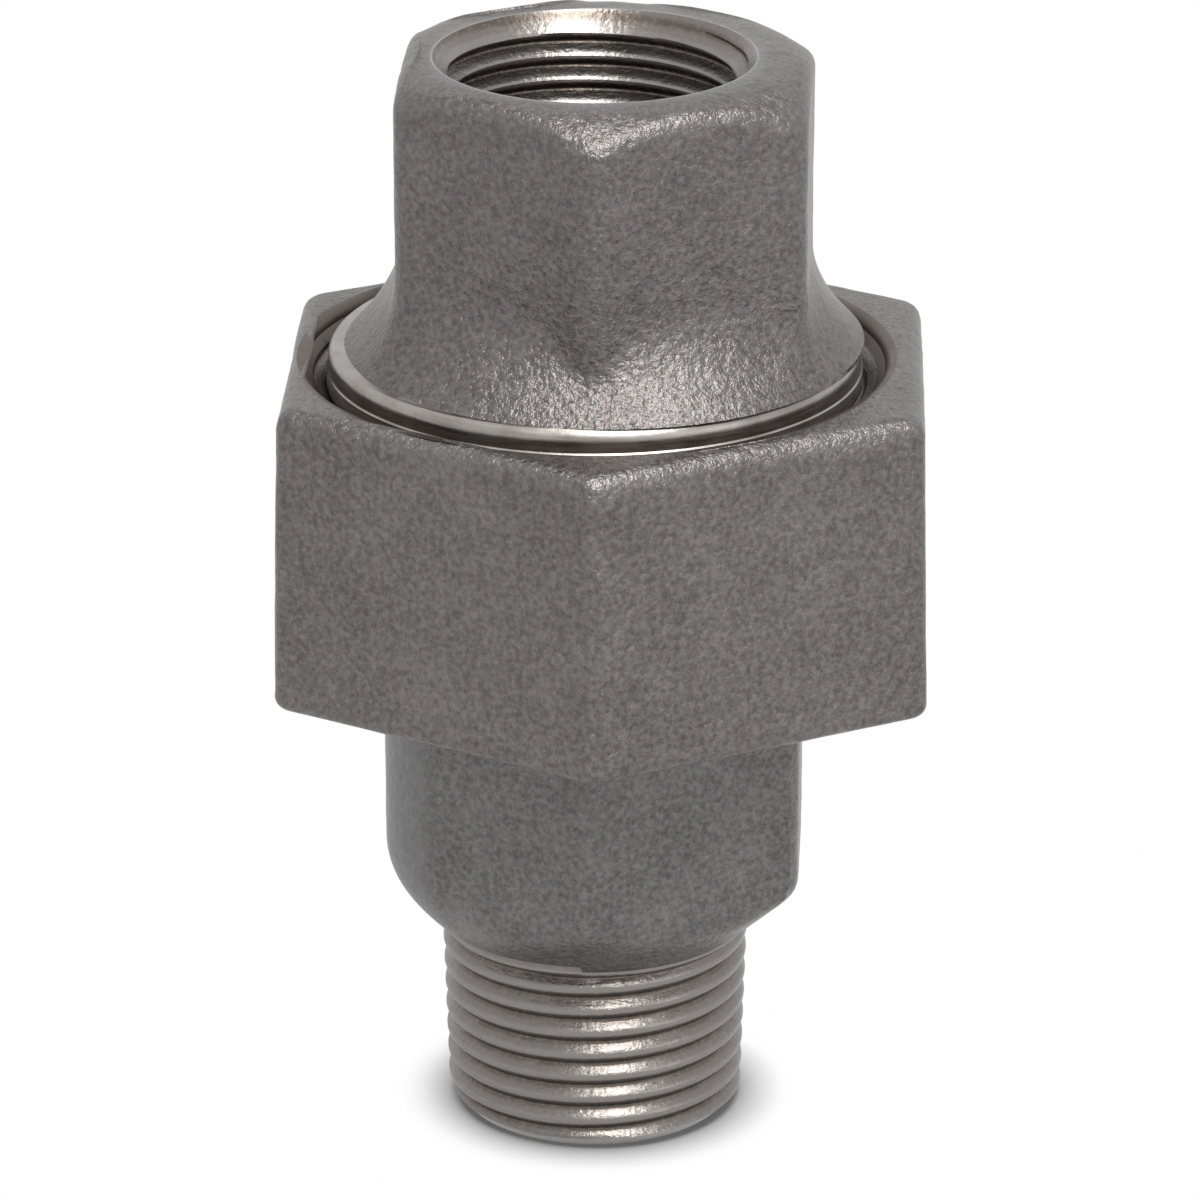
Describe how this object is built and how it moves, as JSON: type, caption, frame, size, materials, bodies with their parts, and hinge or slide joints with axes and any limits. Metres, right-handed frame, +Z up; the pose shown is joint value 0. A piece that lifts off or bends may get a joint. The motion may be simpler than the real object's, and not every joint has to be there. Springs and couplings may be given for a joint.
{
  "type": "malleable iron union",
  "caption": "Hexagonal pipe union in malleable iron, male taper thread below and female thread above, drawn together by a hexagon nut over a conical iron seat.",
  "frame": {"origin": "centre of the male thread's end face, on the union's axis", "axes": "+Z up the axis from the male thread to the female thread, -Y towards the hexagons' front corners"},
  "size_m": [0.0354, 0.0398, 0.0603],
  "materials": {
    "tail_iron": "rough black casting with machined taper thread",
    "nut_iron": "rough black casting with machined thread and faces",
    "head_iron": "rough black casting with machined end, bore and land"
  },
  "bodies": {
    "tail": {"male_tail": "tail_iron"},
    "nut": {"union_nut": "nut_iron"},
    "head": {"female_head": "head_iron"}
  },
  "joints": [
    {"name": "nut_spin", "type": "hinge", "parent": "tail", "child": "nut", "pos_m": [0, 0, 0.0268], "axis": [0, 0, 1], "range_deg": [-1710, 0]},
    {"name": "head_lift", "type": "slide", "parent": "tail", "child": "head", "axis": [0, 0, 1], "range_m": [0, 0.00862]}
  ],
  "couplings": [
    {"joint": "head_lift", "follows": "nut_spin", "m_per_rad": -0.00028875}
  ]
}
